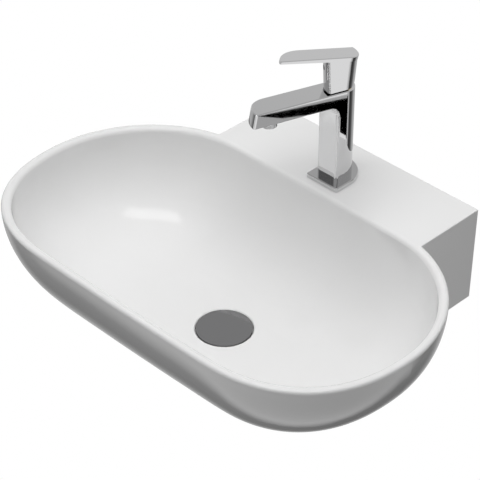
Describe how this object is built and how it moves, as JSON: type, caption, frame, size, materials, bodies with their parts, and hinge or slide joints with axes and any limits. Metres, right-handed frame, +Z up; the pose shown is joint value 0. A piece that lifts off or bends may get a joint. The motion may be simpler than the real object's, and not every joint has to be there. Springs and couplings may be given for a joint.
{
  "type": "wall-hung basin",
  "caption": "Pill-shaped wall-hung ceramic basin with a box ledge, a chromed single-lever tap whose spout rises to the front, and a click waste.",
  "frame": {"origin": "midway between the two wall-bolt holes, on the wall's plane", "axes": "+X to the right of someone facing the wall, +Y into the wall, +Z up"},
  "size_m": [0.6, 0.4379, 0.4189],
  "materials": {
    "glaze": "glossy white glaze",
    "chrome": "polished chrome plate",
    "steel": "plain steel",
    "brass": "turned brass",
    "rubber": "black rubber",
    "grey_plastic": "moulded plastic",
    "white_plastic": "moulded plastic",
    "disc_ceramic": "lapped ceramic"
  },
  "bodies": {
    "basin": {"basin": "glaze", "wall_bushes": "white_plastic", "tap_body": "chrome", "base_plate": "chrome", "base_gasket": "rubber", "cartridge_base": "grey_plastic", "cartridge_seals": "rubber", "fixed_disc": "disc_ceramic", "cartridge_housing": "white_plastic", "cartridge_nut": "brass", "aerator_shell": "chrome", "aerator_insert": "grey_plastic", "aerator_washer": "rubber", "fixing_stud": "steel", "horseshoe_rubber": "rubber", "horseshoe_plate": "steel", "fixing_nut": "steel", "waste_body": "chrome", "flange_seal": "rubber", "click_barrel": "brass", "click_cap": "brass", "click_spring": "steel", "lower_washer": "rubber", "friction_washer": "white_plastic", "back_nut": "brass"},
    "mixer_rotor": {"rotor": "grey_plastic", "pivot_pin": "steel"},
    "lever": {"lever": "chrome", "lever_screw": "steel", "screw_plug": "grey_plastic", "stem": "steel"},
    "valve_disc": {"moving_disc": "disc_ceramic", "disc_carrier": "white_plastic"},
    "plug": {"plug_cap": "chrome", "plug_seal": "rubber", "plug_stem": "brass"}
  },
  "joints": [
    {"name": "lever_turn", "type": "hinge", "parent": "basin", "child": "mixer_rotor", "pos_m": [0, -0.067, 0.1904], "axis": [0, 0.225, 0.9744], "range_deg": [-45, 45]},
    {"name": "lever_lift", "type": "hinge", "parent": "mixer_rotor", "child": "lever", "pos_m": [0, -0.06959, 0.17919], "axis": [-1, 0, 0], "range_deg": [0, 18]},
    {"name": "disc_slide", "type": "slide", "parent": "mixer_rotor", "child": "valve_disc", "axis": [0, -0.9744, 0.225], "range_m": [0, 0.0018]},
    {"name": "plug_slide", "type": "slide", "parent": "basin", "child": "plug", "axis": [0, 0, 1], "range_m": [0, 0.008], "deforming": ["click_spring"]}
  ],
  "couplings": [
    {"joint": "disc_slide", "follows": "lever_lift", "m_per_rad": 0.0055}
  ]
}
